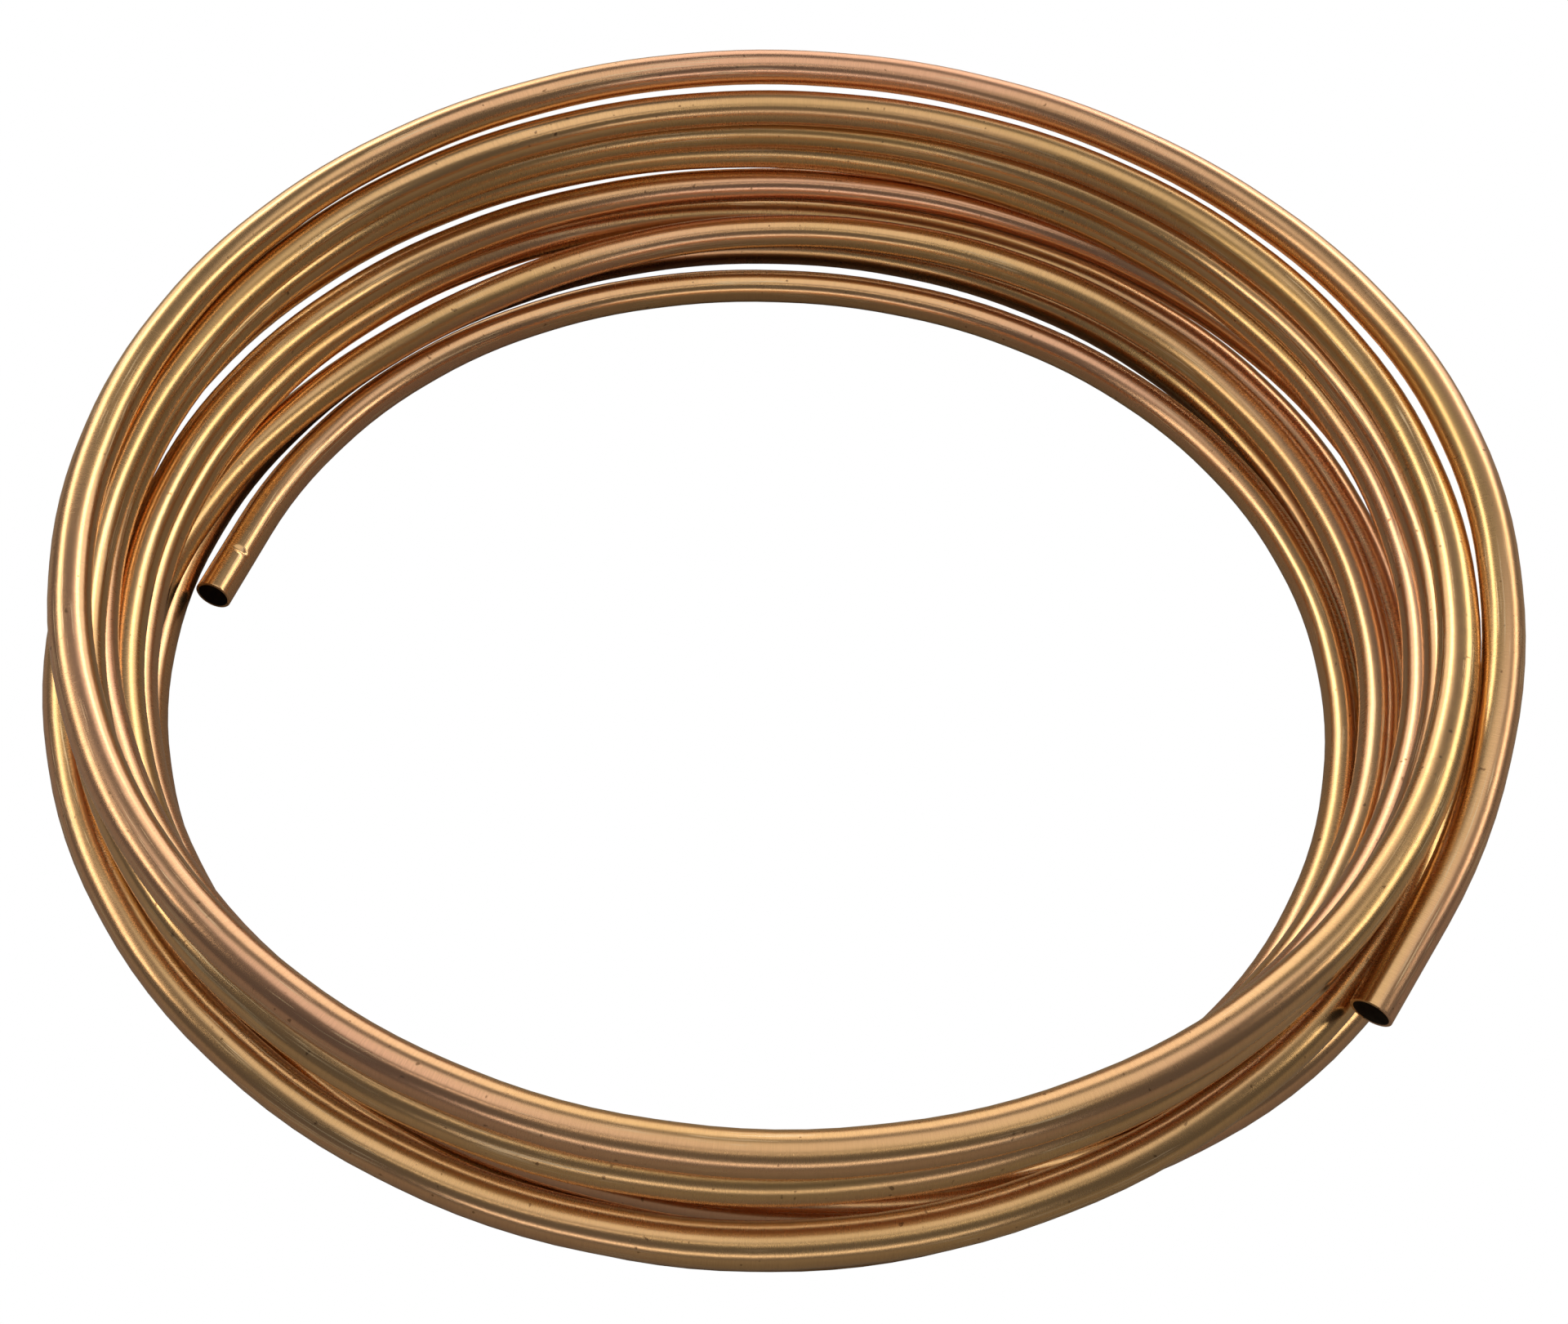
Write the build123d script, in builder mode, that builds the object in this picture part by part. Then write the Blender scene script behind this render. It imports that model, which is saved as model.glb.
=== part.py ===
from build123d import *
import math
import os

os.makedirs("parts", exist_ok=True)

# Immersion wort chiller: one length of soft copper tube, wound by hand in a loose coil that rests
# on its lowest turns. For the assembly the tube is cut, square to its axis, into nodes that meet
# face to face: a straight mouth at each end and ten equal lengths of winding between them.

# ---- driving dimensions, millimetres ----
TUBE_OD = 10.0
TUBE_WALL = 0.8
MOUTH_STRAIGHT = 25.0     # straight tube beyond the lay's first and last point, for a hose
LEAD = 0.05               # straight tube left to the winding before its first bend
TURN_NODES = 10           # equal lengths of wound tube
BENDS_PER_NODE = 23       # the winding is short bends, each one arc, joined by short straights
BEND_SHARE = 0.9          # part of each leg that the bends at its two ends take up
WINDING_START = 326.0     # where the inlet's straight ends, in degrees of travel round the coil
WINDING_END = 3765.0      # where the outlet's straight starts

# The lay of the winding: (radius from the coil's middle, height of the axis above the floor) as
# the tube passes each eighth of a turn. One row is one turn: right, back right, back, back left,
# left, front left, front, front right. Travel starts at the inlet, anticlockwise from above.
PASS_SPACING = 45.0
BEFORE_INLET = [(182, 28), (182, 43.5)]
LAY = BEFORE_INLET + [
    (179, 67.5), (177.5, 68), (175, 68.5), (171, 68), (168, 67), (168, 65.5), (170, 64), (170.5, 62.5),
    (169, 62.5), (167.5, 62.5), (165.5, 61), (165, 59.5), (165.5, 57), (170, 55.5), (171, 53.5), (169.5, 52.5),
    (168.5, 52), (167.5, 52), (168, 50.5), (168.5, 49), (167, 46.5), (163, 46), (163, 44.5), (165, 43),
    (166.5, 42), (169, 41.5), (171, 40.5), (173.5, 39.5), (174.5, 39), (177.5, 41), (179, 40), (175, 38),
    (174.5, 34.5), (172, 31.5), (167.5, 30.5), (163.5, 33), (161.5, 37), (163.5, 35), (166, 33.5), (176.5, 26.5),
    (180.5, 24.5), (184.5, 26.5), (186.5, 28.5), (184.5, 29), (180, 27.5), (174, 24), (170, 20.5), (168, 18.5),
    (168, 18.5), (171, 18.5), (169, 17.5), (165, 22.5), (161, 26.5), (160.5, 25), (160, 25), (160.5, 25.5),
    (159, 26), (157, 26), (155, 23), (155, 15.5), (164.5, 15.5), (168, 14.5), (167, 9.5), (164.5, 5.5),
    (161.5, 5.5), (165, 7.5), (166, 6.5), (165, 5), (163.5, 5), (158.5, 8), (156.5, 11), (157, 12.5),
    (153, 12), (150.5, 8), (149, 5.5), (150.5, 6), (150.5, 5), (149, 5), (149, 5),
]
FIRST_PASS = 270.0        # travel at the first entry of the table


def smooth(before, here, after, later, t):
    # a curve through the passes: leaves each one parallel to the line joining its neighbours
    slope_here = (after - before) / 2
    slope_after = (later - here) / 2
    rise = after - here
    return (here + slope_here * t + (3 * rise - 2 * slope_here - slope_after) * t ** 2
            + (slope_here + slope_after - 2 * rise) * t ** 3)


def lay(travel):
    # the point of the tube's axis at this many degrees of travel
    steps = (travel - FIRST_PASS) / PASS_SPACING
    k = int(steps)
    four = LAY[k - 1:k + 3]
    radius = smooth(four[0][0], four[1][0], four[2][0], four[3][0], steps - k)
    height = smooth(four[0][1], four[1][1], four[2][1], four[3][1], steps - k)
    angle = math.radians(travel)
    return Vector(radius * math.cos(angle), radius * math.sin(angle), height)


# ---- corners of the winding, and the middle of each leg between them ----
BENDS = TURN_NODES * BENDS_PER_NODE
STEP = (WINDING_END - WINDING_START) / BENDS
OUTSIDE = 1 / math.cos(math.radians(STEP / 2))    # corners stand outside the curve they make

corners = []
for j in range(BENDS + 2):
    point = lay(WINDING_START + (j - 0.5) * STEP)
    corners.append(Vector(point.X * OUTSIDE, point.Y * OUTSIDE, point.Z))

# the coil stands on the floor, centred on its own outline
straight_in = corners[0] - corners[1]
straight_out = corners[-1] - corners[-2]
reach = [(corners[j] + corners[j + 1]) / 2 for j in range(BENDS + 1)]
outline = reach + [reach[0] + straight_in.normalized() * MOUTH_STRAIGHT]
middle_x = (max(p.X for p in outline) + min(p.X for p in outline)) / 2
middle_y = (max(p.Y for p in outline) + min(p.Y for p in outline)) / 2
lowest = min(p.Z for p in outline) - TUBE_OD / 2
shift = Vector(-middle_x, -middle_y, -lowest)
corners = [p + shift for p in corners]
middles = [(corners[j] + corners[j + 1]) / 2 for j in range(BENDS + 1)]


def bend_radius(j):
    # the arc at corner j takes its share of the shorter half leg beside it
    to_last = corners[j - 1] - corners[j]
    to_next = corners[j + 1] - corners[j]
    turn = math.radians(180 - to_last.get_angle(to_next))
    half_leg = min(to_last.length, to_next.length) / 2
    return BEND_SHARE * half_leg / math.tan(turn / 2)


def mouth_end(j, toward):
    # where a mouth stops, on the leg outside corner j: a little before the bend there begins
    half_leg = min((corners[j - 1] - corners[j]).length, (corners[j + 1] - corners[j]).length) / 2
    outward = (corners[toward] - corners[j]).normalized()
    return corners[j] + outward * (BEND_SHARE * half_leg + LEAD)


WOUND_FROM = mouth_end(1, 0)
WOUND_TO = mouth_end(BENDS, BENDS + 1)

# ---- wound lengths ----
TURNS = []
for node in range(TURN_NODES):
    first = node * BENDS_PER_NODE
    last = first + BENDS_PER_NODE
    start = WOUND_FROM if first == 0 else middles[first]
    end = WOUND_TO if last == BENDS else middles[last]
    stops = [start] + corners[first + 1:last + 1] + [end]
    radii = [bend_radius(j) for j in range(first + 1, last + 1)]
    with BuildPart() as turn:
        with BuildLine() as axis:
            FilletPolyline(*stops, radius=radii)
        wound = axis.wires()[0]
        with BuildSketch(Plane(origin=wound @ 0, z_dir=wound % 0)):
            Circle(TUBE_OD / 2)
            Circle(TUBE_OD / 2 - TUBE_WALL, mode=Mode.SUBTRACT)
        sweep(path=wound)
    turn.part.label = f"turn_{node + 1:02d}"
    export_step(turn.part, f"parts/turn_{node + 1:02d}.step")
    TURNS.append(turn.part)

# ---- straight mouths ----
MOUTHS = [
    ("inlet_end", WOUND_FROM, middles[0], corners[0] - corners[1]),
    ("outlet_end", WOUND_TO, middles[-1], corners[-1] - corners[-2]),
]
for name, start, lay_end, outward in MOUTHS:
    mouth_length = (lay_end - start).length + MOUTH_STRAIGHT
    with BuildPart() as mouth:
        with BuildSketch(Plane(origin=start, z_dir=outward)):
            Circle(TUBE_OD / 2)
            Circle(TUBE_OD / 2 - TUBE_WALL, mode=Mode.SUBTRACT)
        extrude(amount=mouth_length)
    mouth.part.label = name
    export_step(mouth.part, f"parts/{name}.step")
    lip = start + outward.normalized() * mouth_length
    print(name, "starts", start, "lip", lip, "outward", outward.normalized(), "long", round(mouth_length, 4))

section = math.pi * (TUBE_OD - TUBE_WALL) * TUBE_WALL
length = sum(t.volume for t in TURNS) / section
print("wound length", round(length, 1), "mm, section", round(section, 3), "mm2, moved by", shift)
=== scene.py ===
# %% [markdown]
# # Immersion wort chiller
# A chiller is one long piece of soft copper tube, wound by hand in a loose coil. Cold water runs
# through it while it stands in hot wort. Everything here is that one tube: its wandering lay, its
# thin wall at the two open ends, and the skin that drawn and handled copper has.
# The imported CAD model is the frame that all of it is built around.

# %% Load the frame
import math

import bmesh
import bpy
from mathutils import Matrix, Vector


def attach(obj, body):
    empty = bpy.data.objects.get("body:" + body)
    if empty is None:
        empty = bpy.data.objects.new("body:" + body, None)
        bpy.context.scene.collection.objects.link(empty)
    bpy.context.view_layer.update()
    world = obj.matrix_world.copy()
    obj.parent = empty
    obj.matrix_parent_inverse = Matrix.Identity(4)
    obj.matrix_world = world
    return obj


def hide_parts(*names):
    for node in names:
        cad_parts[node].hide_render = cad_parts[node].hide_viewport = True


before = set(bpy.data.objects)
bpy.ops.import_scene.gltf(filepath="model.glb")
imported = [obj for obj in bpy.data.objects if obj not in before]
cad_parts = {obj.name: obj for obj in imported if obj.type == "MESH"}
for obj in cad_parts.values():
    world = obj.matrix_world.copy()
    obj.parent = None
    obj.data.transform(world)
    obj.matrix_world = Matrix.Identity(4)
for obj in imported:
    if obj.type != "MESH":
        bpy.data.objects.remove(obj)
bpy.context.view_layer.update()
print("CAD nodes:", sorted(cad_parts))

# %% [markdown]
# ## The camera
# The coil is looked at from above its front edge, close enough that its near side looms larger
# than its far side. The camera aims at a point on the floor close to the coil's middle, and
# leans a little to one side, as a hand-held one does.

# %% Set the camera
VIEW_ELEVATION = math.radians(51.94)
VIEW_ROLL = math.radians(2.38)
VIEW_DISTANCE = 0.5702
VIEW_TARGET = Vector((0.0047, -0.0003, 0.0002))
LENS = 47.92

back = Vector((0, -math.cos(VIEW_ELEVATION), math.sin(VIEW_ELEVATION)))
level_right = Vector((1, 0, 0))
level_up = back.cross(level_right)
right = math.cos(VIEW_ROLL) * level_right + math.sin(VIEW_ROLL) * level_up
up = back.cross(right)

camera_data = bpy.data.cameras.new("camera")
camera_data.lens = LENS
camera_data.clip_start = 0.01
camera_data.clip_end = 50
camera = bpy.data.objects.new("camera", camera_data)
bpy.context.scene.collection.objects.link(camera)
camera.matrix_world = Matrix((right, up, back)).transposed().to_4x4()
camera.location = VIEW_TARGET + back * VIEW_DISTANCE
bpy.context.scene.camera = camera
print("camera at", [round(x, 3) for x in camera.location], "lens", LENS)

# %% [markdown]
# ## The lay of the winding
# A coil unrolled by hand isn't a helix: each pass lies where the last one let it. The lay is kept
# as the tube's radius and height, in millimetres, at every eighth of a turn, two lines a turn,
# and a smooth curve joins them, just as in the CAD model. The curve is then cut into short bends with short
# straights between them, which is how a tube really takes its shape: bend, feed, bend.
# A free curve with a bevel would look much the same, but bends are exact, they match the CAD
# tube's own arcs, and a ring of the tube can be spun through them.

# %% Tube and lay
MM = 0.001
TUBE_RADIUS = 5.0 * MM
TUBE_WALL = 0.8 * MM
MOUTH_STRAIGHT = 25.0 * MM
LEAD = 0.05 * MM
TURN_NODES = 10
BENDS_PER_NODE = 23
BEND_SHARE = 0.9
WINDING_START = 326.0
WINDING_END = 3765.0
FIRST_PASS = 270.0
PASS_SPACING = 45.0
BEFORE_INLET = [(182, 28), (182, 43.5)]
LAY = BEFORE_INLET + [
    (179, 67.5), (177.5, 68), (175, 68.5), (171, 68),
    (168, 67), (168, 65.5), (170, 64), (170.5, 62.5),
    (169, 62.5), (167.5, 62.5), (165.5, 61), (165, 59.5),
    (165.5, 57), (170, 55.5), (171, 53.5), (169.5, 52.5),
    (168.5, 52), (167.5, 52), (168, 50.5), (168.5, 49),
    (167, 46.5), (163, 46), (163, 44.5), (165, 43),
    (166.5, 42), (169, 41.5), (171, 40.5), (173.5, 39.5),
    (174.5, 39), (177.5, 41), (179, 40), (175, 38),
    (174.5, 34.5), (172, 31.5), (167.5, 30.5), (163.5, 33),
    (161.5, 37), (163.5, 35), (166, 33.5), (176.5, 26.5),
    (180.5, 24.5), (184.5, 26.5), (186.5, 28.5), (184.5, 29),
    (180, 27.5), (174, 24), (170, 20.5), (168, 18.5),
    (168, 18.5), (171, 18.5), (169, 17.5), (165, 22.5),
    (161, 26.5), (160.5, 25), (160, 25), (160.5, 25.5),
    (159, 26), (157, 26), (155, 23), (155, 15.5),
    (164.5, 15.5), (168, 14.5), (167, 9.5), (164.5, 5.5),
    (161.5, 5.5), (165, 7.5), (166, 6.5), (165, 5),
    (163.5, 5), (158.5, 8), (156.5, 11), (157, 12.5),
    (153, 12), (150.5, 8), (149, 5.5), (150.5, 6),
    (150.5, 5), (149, 5), (149, 5),
]


def smooth(before, here, after, later, t):
    slope_here = (after - before) / 2
    slope_after = (later - here) / 2
    rise = after - here
    return (here + slope_here * t + (3 * rise - 2 * slope_here - slope_after) * t ** 2
            + (slope_here + slope_after - 2 * rise) * t ** 3)


def lay(travel):
    steps = (travel - FIRST_PASS) / PASS_SPACING
    k = int(steps)
    four = LAY[k - 1:k + 3]
    radius = smooth(four[0][0], four[1][0], four[2][0], four[3][0], steps - k) * MM
    height = smooth(four[0][1], four[1][1], four[2][1], four[3][1], steps - k) * MM
    angle = math.radians(travel)
    return Vector((radius * math.cos(angle), radius * math.sin(angle), height))


# %% Corners of the bends
BENDS = TURN_NODES * BENDS_PER_NODE
STEP = (WINDING_END - WINDING_START) / BENDS
OUTSIDE = 1 / math.cos(math.radians(STEP / 2))

corners = []
for j in range(BENDS + 2):
    point = lay(WINDING_START + (j - 0.5) * STEP)
    corners.append(Vector((point.x * OUTSIDE, point.y * OUTSIDE, point.z)))


def between(a, b):
    return (a + b) / 2


# the CAD model centres the coil's outline on the origin and stands it on the floor
reach = [between(a, b) for a, b in zip(corners, corners[1:])]
inlet_out = (corners[0] - corners[1]).normalized()
outline = reach + [reach[0] + inlet_out * MOUTH_STRAIGHT]
shift = Vector((
    -(max(p.x for p in outline) + min(p.x for p in outline)) / 2,
    -(max(p.y for p in outline) + min(p.y for p in outline)) / 2,
    TUBE_RADIUS - min(p.z for p in outline)))
corners = [p + shift for p in corners]
middles = [between(a, b) for a, b in zip(corners, corners[1:])]
print("bends", BENDS, "of", round(STEP, 2), "degrees; lay moved by", [round(x, 5) for x in shift])

def mouth_end(j, toward):
    """Where a mouth's straight stops, on the leg outside corner j: just before the bend there."""
    half_leg = min((corners[j - 1] - corners[j]).length, (corners[j + 1] - corners[j]).length) / 2
    outward = (corners[toward] - corners[j]).normalized()
    return corners[j] + outward * (BEND_SHARE * half_leg + LEAD)


wound_from = mouth_end(1, 0)
wound_to = mouth_end(BENDS, BENDS + 1)

# %% [markdown]
# ## Drawing the tube
# The tube is made the way a bender makes it. A ring, with its outer and inner circle, starts at
# the inlet's mouth. For a straight the ring's edges are extruded along the tube, and for a bend
# they are extruded and turned about the bend's own axis. Each new ring also writes down where it
# was before bending, as (distance from the inlet, y, z on the ring). That attribute, `unbent`, is
# the straight tube that came out of the drawing die, so grain and scratches that are painted on
# it follow every bend with no seam and no stretch.

# %% The ring and its two moves
RING_POINTS = 48
STEPS_PER_BEND = 6
MOUTH_STEP = 0.5 * MM


def start_ring(bm, layer, centre, along, sideways, run):
    """A new outer and inner circle, square to the tube, and the edges to extrude."""
    third = along.cross(sideways).normalized()
    turn = Matrix((sideways, third, along)).transposed().to_4x4()
    turn.translation = centre
    edges = []
    for radius in (TUBE_RADIUS, TUBE_RADIUS - TUBE_WALL):
        made = bmesh.ops.create_circle(bm, segments=RING_POINTS, radius=radius)
        for vert in made["verts"]:
            vert[layer] = Vector((run, vert.co.x, vert.co.y))
        bmesh.ops.transform(bm, matrix=turn, verts=made["verts"])
        edges += list({e for v in made["verts"] for e in v.link_edges})
    return edges


def push_ring(bm, layer, edges, run):
    """Extrudes the ring on the spot, and returns the new ring's edges and points."""
    made = bmesh.ops.extrude_edge_only(bm, edges=edges)["geom"]
    verts = [g for g in made if isinstance(g, bmesh.types.BMVert)]
    for vert in verts:
        vert[layer] = Vector((run, vert[layer].y, vert[layer].z))
    return [g for g in made if isinstance(g, bmesh.types.BMEdge) and
            g.verts[0] in verts and g.verts[1] in verts], verts


# %% Straights and bends
def push_straight(bm, layer, edges, along, length, run):
    made, verts = push_ring(bm, layer, edges, run + length)
    bmesh.ops.translate(bm, vec=along * length, verts=verts)
    return made, run + length


def push_bend(bm, layer, edges, centre, axis, angle, radius, run):
    """Turns the ring through the bend in equal steps."""
    small = angle / STEPS_PER_BEND
    turn = Matrix.Rotation(small, 3, axis)
    for _ in range(STEPS_PER_BEND):
        run += small * radius
        edges, verts = push_ring(bm, layer, edges, run)
        bmesh.ops.rotate(bm, cent=centre, matrix=turn, verts=verts)
    return edges, run


def bend_at(j):
    """Length of tube that the bend at corner j takes from each leg, its angle, and its axis."""
    leg_in = corners[j] - corners[j - 1]
    leg_out = corners[j + 1] - corners[j]
    take = BEND_SHARE * min(leg_in.length, leg_out.length) / 2
    return take, leg_in.angle(leg_out), leg_in.cross(leg_out).normalized()


# %% [markdown]
# ## Closing a length of tube
# Each length becomes a closed solid: its two circles are joined by a flat ring at both ends.
# Where a length only meets the next one, that ring is hidden inside the tube. At a mouth it is
# the cut that a tube cutter leaves, so its two edges are rounded a little. The wall then reads as
# 0.8 mm of metal round a dark bore.

# %% End faces and finished pieces
LIP_ROUNDING = 0.12 * MM
copper_pieces = []


def close_end(bm, edges, rounded):
    bmesh.ops.bridge_loops(bm, edges=edges)
    if rounded:
        bmesh.ops.bevel(bm, geom=edges, offset=LIP_ROUNDING, offset_type="OFFSET", segments=3,
                        profile=0.5, affect="EDGES", material=-1)
    else:
        for edge in edges:
            edge.smooth = False


def finish_piece(bm, name, node):
    bmesh.ops.recalc_face_normals(bm, faces=bm.faces)
    for face in bm.faces:
        face.smooth = True
    mesh = bpy.data.meshes.new(name)
    bm.to_mesh(mesh)
    bm.free()
    piece = bpy.data.objects.new(name, mesh)
    bpy.context.scene.collection.objects.link(piece)
    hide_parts(node)
    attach(piece, "root")
    copper_pieces.append(piece)
    return piece


# %% Wind the tube, from the inlet's mouth to the outlet's
NICK_FROM_MOUTH = 14 * MM
NICK_LENGTH = 0.6 * MM
NICK_WIDTH = 2.2 * MM
NICK_DEPTH = 0.45 * MM
NICK_SLANT = 0.25
NICK_FACING = Vector((0.35, -0.45, 0.8))
sideways = inlet_out.orthogonal().normalized()
run = 0.0


def new_length():
    bm = bmesh.new()
    return bm, bm.verts.layers.float_vector.new("unbent")


def dent(bm, layer, along, place, facing):
    """Presses a short crosswise nick into the side of a straight that faces that way."""
    third = along.cross(sideways).normalized()
    aim = math.atan2(facing.dot(third), facing.dot(sideways))
    for vert in bm.verts:
        out, y, z = vert[layer]
        round_it = math.remainder(math.atan2(z, y) - aim, math.tau) * TUBE_RADIUS / NICK_WIDTH
        along_it = (out - place) / NICK_LENGTH + NICK_SLANT * round_it
        depth = NICK_DEPTH * math.exp(-round_it ** 2 - along_it ** 2)
        inward = -(sideways * y + third * z).normalized()
        vert.co += inward * depth


def wind_mouth(name, node, start, along, length, mouth_first):
    """A straight mouth. The outlet's has a nick, so both are pushed in short steps."""
    global run
    bm, layer = new_length()
    first = start_ring(bm, layer, start, along, sideways, run)
    edges = first
    steps = round(length / MOUTH_STEP)
    for _ in range(steps):
        edges, run = push_straight(bm, layer, edges, along, length / steps, run)
    if not mouth_first:
        dent(bm, layer, along, run - NICK_FROM_MOUTH, NICK_FACING)
    close_end(bm, first, rounded=mouth_first)
    close_end(bm, edges, rounded=not mouth_first)
    return finish_piece(bm, name, node)


def wind_turn(name, node, number):
    """One node's 23 bends, with the straights between them."""
    global run, sideways
    bm, layer = new_length()
    first_corner = number * BENDS_PER_NODE + 1
    along = (corners[first_corner] - corners[first_corner - 1]).normalized()
    at = wound_from if number == 0 else middles[first_corner - 1]
    first = start_ring(bm, layer, at, along, sideways, run)
    edges = first
    for j in range(first_corner, first_corner + BENDS_PER_NODE):
        take, angle, axis = bend_at(j)
        along = (corners[j] - corners[j - 1]).normalized()
        bend_start = corners[j] - along * take
        edges, run = push_straight(bm, layer, edges, along, (bend_start - at).length, run)
        radius = take / math.tan(angle / 2)
        centre = bend_start + axis.cross(along) * radius
        edges, run = push_bend(bm, layer, edges, centre, axis, angle, radius, run)
        sideways = Matrix.Rotation(angle, 3, axis) @ sideways
        at = corners[j] + (corners[j + 1] - corners[j]).normalized() * take
    along = (corners[j + 1] - corners[j]).normalized()
    end = wound_to if j == BENDS else middles[j]
    edges, run = push_straight(bm, layer, edges, along, (end - at).length, run)
    close_end(bm, first, rounded=False)
    close_end(bm, edges, rounded=False)
    return finish_piece(bm, name, node)


inlet_lip = middles[0] + inlet_out * MOUTH_STRAIGHT
wind_mouth("inlet_mouth", "inlet_end", inlet_lip, -inlet_out,
           (inlet_lip - wound_from).length, True)
for number in range(TURN_NODES):
    wind_turn(f"wound_tube_{number + 1:02d}", f"turn_{number + 1:02d}", number)
outlet_out = (corners[-1] - corners[-2]).normalized()
outlet_lip = middles[-1] + outlet_out * MOUTH_STRAIGHT
wind_mouth("outlet_mouth", "outlet_end", wound_to, outlet_out,
           (outlet_lip - wound_to).length, False)
print("tube", round(run, 3), "m long;", sum(len(p.data.polygons) for p in copper_pieces), "faces")

# %% [markdown]
# ## Bare copper
# Soft copper leaves the mill bright and pink, then dulls in the air to a golden tan, unevenly, and
# every pull through the winder's hands leaves marks. The skin is one metal with layers of detail,
# all painted on the unbent tube: cloudy patches of tarnish a hand's width long, a fine grain
# across the tube from the straightening rolls, sparse scratches along it, and a few dark specks.
# Inside the bore the colour is painted near black, as painted shade of the deep hole, and the metal there
# is made dull; the same attribute tells the bore apart: there the place lies less than the bore's radius
# from the tube's axis.

# %% Node helpers
def new_material(name):
    material = bpy.data.materials.new(name)
    material.use_nodes = True
    tree = material.node_tree
    tree.nodes.clear()
    return material, tree


def add(tree, kind, **values):
    node = tree.nodes.new(kind)
    for key, value in values.items():
        setattr(node, key, value)
    return node


def stretched(tree, source, scale):
    """The unbent place, scaled along, and across the tube."""
    node = add(tree, "ShaderNodeVectorMath", operation="MULTIPLY")
    tree.links.new(source, node.inputs[0])
    node.inputs[1].default_value = scale
    return node.outputs["Vector"]


def noise(tree, vector, detail=4.0, roughness=0.55, distortion=0.0):
    node = add(tree, "ShaderNodeTexNoise")
    node.inputs["Scale"].default_value = 1.0
    node.inputs["Detail"].default_value = detail
    node.inputs["Roughness"].default_value = roughness
    node.inputs["Distortion"].default_value = distortion
    tree.links.new(vector, node.inputs["Vector"])
    return node.outputs["Fac"]


def spread(tree, value, low, high, to_low=0.0, to_high=1.0):
    """Stretches the part of a pattern between low and high over a new range."""
    node = add(tree, "ShaderNodeMapRange", clamp=True)
    tree.links.new(value, node.inputs["Value"])
    for socket, number in zip(("From Min", "From Max", "To Min", "To Max"),
                              (low, high, to_low, to_high)):
        node.inputs[socket].default_value = number
    return node.outputs["Result"]


def mixed(tree, share, first, second, mode="MIX"):
    """Mixes two colours, each a socket or a plain value."""
    node = add(tree, "ShaderNodeMix", data_type="RGBA", blend_type=mode)
    for socket, value in ((node.inputs[0], share), (node.inputs[6], first), (node.inputs[7], second)):
        if isinstance(value, (int, float)):
            socket.default_value = value
        elif isinstance(value, tuple):
            socket.default_value = (*value, 1.0)
        else:
            tree.links.new(value, socket)
    return node.outputs[2]


def math_node(tree, operation, first, second):
    node = add(tree, "ShaderNodeMath", operation=operation)
    for socket, value in ((node.inputs[0], first), (node.inputs[1], second)):
        if isinstance(value, (int, float)):
            socket.default_value = value
        else:
            tree.links.new(value, socket)
    return node.outputs[0]


# %% The copper
CLEAN_COPPER = (0.84, 0.52, 0.26)
TAN_COPPER = (0.72, 0.45, 0.20)
PINK_COPPER = (0.82, 0.46, 0.29)
TARNISH = (0.22, 0.11, 0.05)
SCRATCH = (0.90, 0.70, 0.46)
# near-black painted shade for the inside of the bore
PAINTED_BORE_SHADE = (0.035, 0.022, 0.014)


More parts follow.
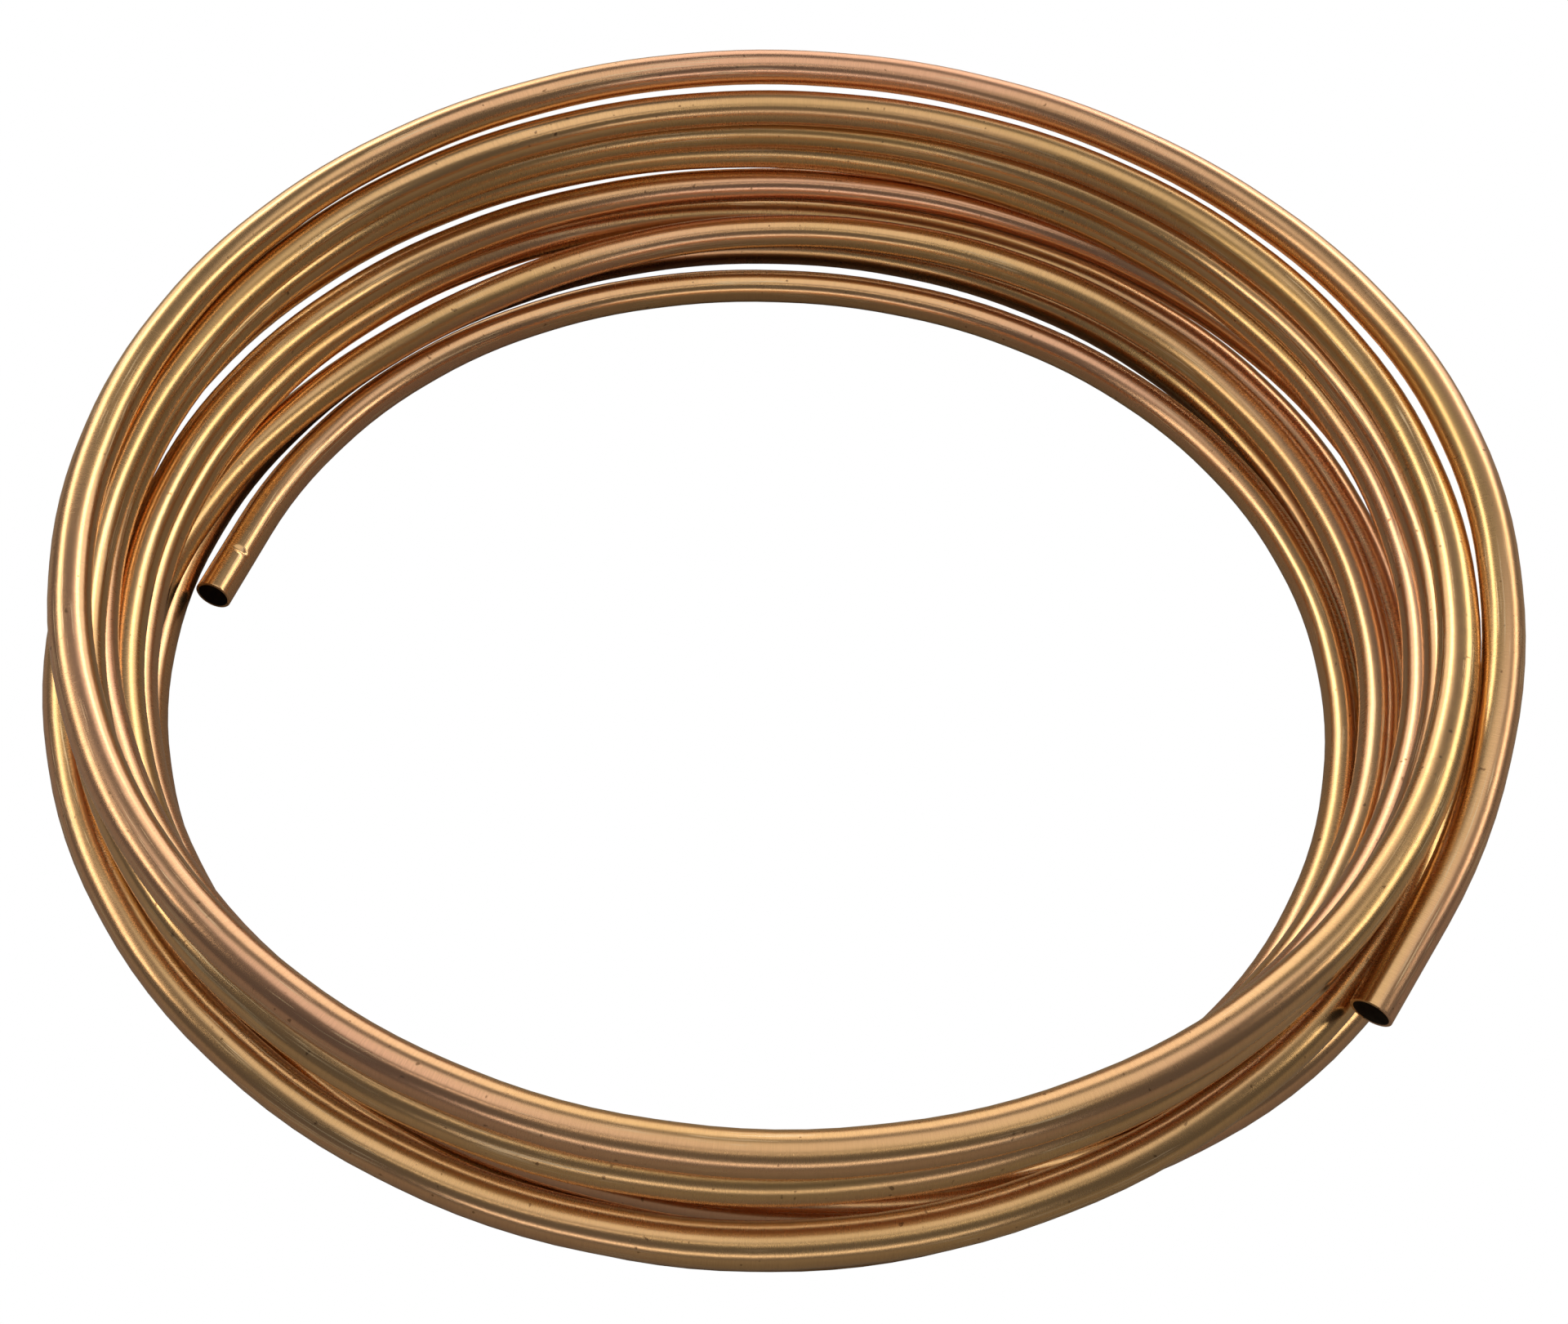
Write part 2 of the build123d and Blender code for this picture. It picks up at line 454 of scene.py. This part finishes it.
def copper_material():
    material, tree = new_material("soft_drawn_copper")
    place = add(tree, "ShaderNodeAttribute", attribute_name="unbent",
                attribute_type="GEOMETRY").outputs["Vector"]

    clouds = spread(tree, noise(tree, stretched(tree, place, (9, 90, 90)), 3.0), 0.35, 0.65)
    blush = spread(tree, noise(tree, stretched(tree, place, (4, 60, 60)), 2.0), 0.48, 0.66)
    grain = noise(tree, stretched(tree, place, (3800, 260, 260)), 2.0, 0.6)
    marks = noise(tree, stretched(tree, place, (35, 2300, 2300)), 2.0, 0.6)
    worn = spread(tree, noise(tree, stretched(tree, place, (28, 120, 120)), 2.0), 0.50, 0.62)
    scratches = math_node(tree, "MULTIPLY", spread(tree, marks, 0.58, 0.63), worn)
    specks = spread(tree, noise(tree, stretched(tree, place, (520, 520, 520)), 1.0), 0.74, 0.78)

    colour = mixed(tree, clouds, CLEAN_COPPER, TAN_COPPER)
    colour = mixed(tree, blush, colour, PINK_COPPER)
    colour = mixed(tree, spread(tree, grain, 0.35, 0.75, 0.0, 0.14), colour, TARNISH)
    colour = mixed(tree, math_node(tree, "MULTIPLY", specks, 0.7), colour, TARNISH)
    colour = mixed(tree, math_node(tree, "MULTIPLY", scratches, 0.7), colour, SCRATCH)

    rough = spread(tree, clouds, 0.0, 1.0, 0.22, 0.30)
    rough = math_node(tree, "ADD", rough, spread(tree, grain, 0.3, 0.7, -0.02, 0.03))
    rough = math_node(tree, "ADD", rough, math_node(tree, "MULTIPLY", scratches, 0.15))

    from_axis = add(tree, "ShaderNodeVectorMath", operation="LENGTH")
    tree.links.new(stretched(tree, place, (0, 1, 1)), from_axis.inputs[0])
    bore_radius = TUBE_RADIUS - TUBE_WALL
    outside = spread(tree, from_axis.outputs["Value"], bore_radius, bore_radius + 0.1 * MM)
    # painted shade: the bore is coloured near black, and made rougher below
    colour = mixed(tree, outside, PAINTED_BORE_SHADE, colour)
    rough = math_node(tree, "MAXIMUM", rough, spread(tree, outside, 0.0, 1.0, 0.65, 0.0))

    relief = math_node(tree, "ADD", math_node(tree, "MULTIPLY", grain, 0.25), scratches)
    bump = add(tree, "ShaderNodeBump")
    bump.inputs["Strength"].default_value = 0.15
    bump.inputs["Distance"].default_value = 0.00002
    tree.links.new(relief, bump.inputs["Height"])

    skin = add(tree, "ShaderNodeBsdfPrincipled")
    skin.inputs["Metallic"].default_value = 1.0
    tree.links.new(colour, skin.inputs["Base Color"])
    tree.links.new(rough, skin.inputs["Roughness"])
    tree.links.new(bump.outputs["Normal"], skin.inputs["Normal"])
    output = add(tree, "ShaderNodeOutputMaterial")
    tree.links.new(skin.outputs["BSDF"], output.inputs["Surface"])
    return material


copper = copper_material()
for piece in copper_pieces:
    piece.data.materials.append(copper)
print("copper has", len(copper.node_tree.nodes), "nodes")

# %% [markdown]
# ## Floor and light
# Polished metal shows the room more than it shows itself, so the light is half of its look. The
# coil stands on a plain white floor. The camera sees the floor glow, so that it stays evenly
# white with no shadow; for everything else, such as its image in the copper, it is grey paint, so
# the undersides of the turns stay dark. The room is dim. A broad soft box overhead gives the tops
# of the turns their matt tan, a thin strip in front puts a line of light on the front and back of
# the coil, and long strips at both sides, reaching far back, put bright lines on its sides. A
# wide pale wall behind fills the gaps between those lines.

# %% The floor
FLOOR_PAINT = (0.35, 0.33, 0.30)


def floor_material():
    material, tree = new_material("white_floor")
    paint = add(tree, "ShaderNodeBsdfDiffuse")
    paint.inputs["Color"].default_value = (*FLOOR_PAINT, 1)
    glow = add(tree, "ShaderNodeEmission")
    glow.inputs["Color"].default_value = (1, 1, 1, 1)
    seen = add(tree, "ShaderNodeLightPath").outputs["Is Camera Ray"]
    mix = add(tree, "ShaderNodeMixShader")
    tree.links.new(seen, mix.inputs["Fac"])
    tree.links.new(paint.outputs["BSDF"], mix.inputs[1])
    tree.links.new(glow.outputs["Emission"], mix.inputs[2])
    output = add(tree, "ShaderNodeOutputMaterial")
    tree.links.new(mix.outputs["Shader"], output.inputs["Surface"])
    return material


FLOOR_SIZE = 3.0
floor_mesh = bpy.data.meshes.new("floor")
bm = bmesh.new()
bmesh.ops.create_grid(bm, x_segments=1, y_segments=1, size=FLOOR_SIZE)
bm.to_mesh(floor_mesh)
bm.free()
floor_mesh.materials.append(floor_material())
floor = bpy.data.objects.new("floor", floor_mesh)
bpy.context.scene.collection.objects.link(floor)
print("floor", 2 * FLOOR_SIZE, "m wide")


# %% The lights
def soft_box(name, place, size, brightness, colour=(1, 1, 1)):
    """An area light that looks at the coil's middle: size is its width and its height."""
    data = bpy.data.lights.new(name, "AREA")
    data.shape = "RECTANGLE"
    data.size, data.size_y = size
    data.energy = brightness * math.pi * size[0] * size[1]
    data.color = colour
    light = bpy.data.objects.new(name, data)
    bpy.context.scene.collection.objects.link(light)
    light.location = place
    light.rotation_mode = "QUATERNION"
    light.rotation_quaternion = Vector(place).to_track_quat("Z", "Y")
    light.visible_camera = False
    return light


OVERHEAD = (1, 0.97, 0.90)
GOLDEN = (1, 0.94, 0.74)
WARM = (1, 0.95, 0.89)
soft_box("overhead_box", (0.0, 0.05, 1.3), (1.6, 1.0), 0.85, OVERHEAD)
soft_box("front_strip", (0.0, -0.62, 1.12), (1.6, 0.10), 1.6, (1, 0.95, 0.80))
soft_box("left_strip", (-1.15, 0.75, 0.95), (2.6, 0.30), 3.7, GOLDEN)
soft_box("right_strip", (1.15, 0.75, 0.95), (2.6, 0.30), 3.7, GOLDEN)
soft_box("back_wall", (0.0, 1.8, 0.75), (4.0, 1.5), 1.15, WARM)
soft_box("low_front_strip", (0.0, -1.4, 0.42), (1.8, 0.22), 1.7, WARM)

world = bpy.data.worlds.new("room")
world.use_nodes = True
world.node_tree.nodes["Background"].inputs["Color"].default_value = (0.62, 0.60, 0.58, 1)
world.node_tree.nodes["Background"].inputs["Strength"].default_value = 0.17
bpy.context.scene.world = world
bpy.context.scene.view_settings.view_transform = "Standard"
